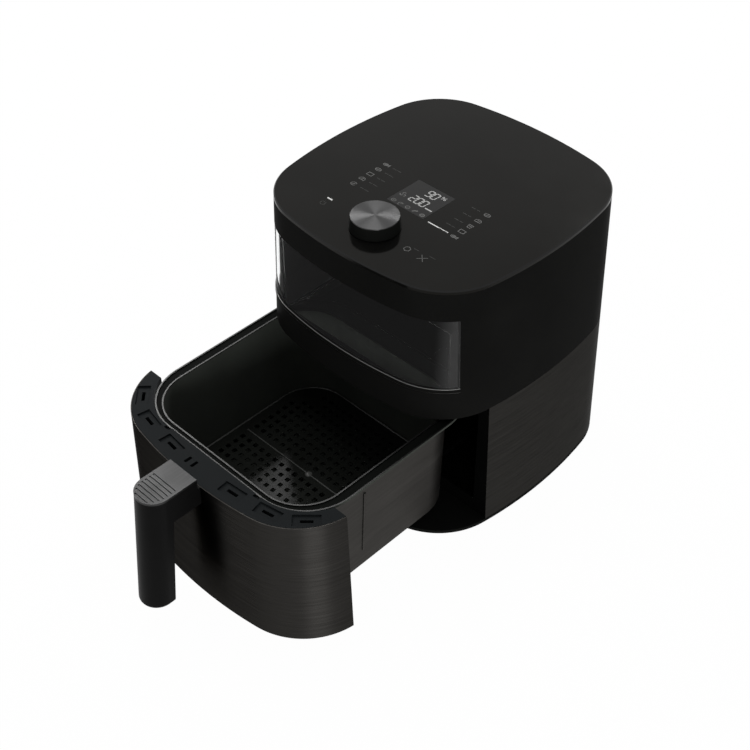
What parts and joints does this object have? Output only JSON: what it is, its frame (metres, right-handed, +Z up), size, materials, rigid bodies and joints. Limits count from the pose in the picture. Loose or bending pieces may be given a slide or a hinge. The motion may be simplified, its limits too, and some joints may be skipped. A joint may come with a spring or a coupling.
{
  "type": "air fryer",
  "caption": "Squircle drawer air fryer with a glass front window, top display and dial, hot-air fan and heater, and a pull-out pan with a crisper plate and an upright handle.",
  "frame": {"origin": "table level under the middle of the whole object with its drawer drawn out as pictured", "axes": "+X to the right, +Y to the back along the drawer's travel, +Z up"},
  "size_m": [0.3, 0.5634, 0.3245],
  "materials": {
    "shell_black": "satin",
    "panel_black": "gloss",
    "clear_glass": "clear",
    "dark_steel": "brushed",
    "light_steel": "brushed",
    "black_plastic": "matte",
    "rim_plastic": "matte",
    "knob_black": "gloss",
    "display_black": "gloss",
    "circuit_board": "matte",
    "screw_steel": "satin",
    "liner_metal": "satin",
    "heater_metal": "matte",
    "ceramic": "matte",
    "motor_metal": "satin",
    "grip_black": "satin",
    "nonstick": "satin",
    "rubber_black": "matte"
  },
  "bodies": {
    "housing": {"upper_shell": "shell_black", "window_sill": "shell_black", "window_glass": "clear_glass", "rear_grille": "shell_black", "top_panel": "panel_black", "display_lens": "display_black", "display_module": "black_plastic", "control_board": "circuit_board", "board_screws": "screw_steel", "rotary_encoder": "black_plastic", "chamber_deck": "black_plastic", "chamber_liner": "liner_metal", "inner_pane": "clear_glass", "exhaust_duct": "liner_metal", "heater_coil": "heater_metal", "heater_insulators": "ceramic", "heater_clips": "liner_metal", "temperature_probe": "screw_steel", "chamber_lamp": "liner_metal", "lamp_lens": "clear_glass", "motor_bracket": "liner_metal", "motor": "motor_metal", "motor_bearings": "screw_steel", "lower_sleeve": "dark_steel", "lower_frame": "black_plastic", "base_tray": "black_plastic", "rubber_feet": "rubber_black", "power_board": "circuit_board", "bay_floor": "liner_metal", "drawer_rails": "black_plastic", "cord_gland": "black_plastic"},
    "knob": {"encoder_shaft": "screw_steel", "knob_body": "knob_black", "knob_cap": "light_steel"},
    "rotor": {"motor_shaft": "screw_steel", "hot_air_fan": "liner_metal", "cooling_fan": "black_plastic"},
    "drawer": {"pan": "nonstick", "drawer_front_skin": "dark_steel", "drawer_front_core": "black_plastic", "drawer_rim": "rim_plastic", "pan_bracket": "liner_metal", "pan_screws": "screw_steel", "handle_grip": "grip_black", "handle_cap": "light_steel", "handle_screws": "screw_steel"},
    "crisper": {"crisper_plate": "nonstick", "plate_bumpers": "rubber_black"}
  },
  "joints": [
    {"name": "drawer_slide", "type": "slide", "parent": "housing", "child": "drawer", "axis": [0, -1, 0], "range_m": [-0.19, 0.11]},
    {"name": "crisper_lift", "type": "slide", "parent": "drawer", "child": "crisper", "axis": [0, 0, 1], "range_m": [0, 0.1]},
    {"name": "knob_turn", "type": "hinge", "parent": "housing", "child": "knob", "pos_m": [0, 0.03196, 0.31], "axis": [0, 0, 1], "continuous": true},
    {"name": "fan_spin", "type": "hinge", "parent": "housing", "child": "rotor", "pos_m": [0, 0.12346, 0.27], "axis": [0, 0, 1], "continuous": true}
  ]
}
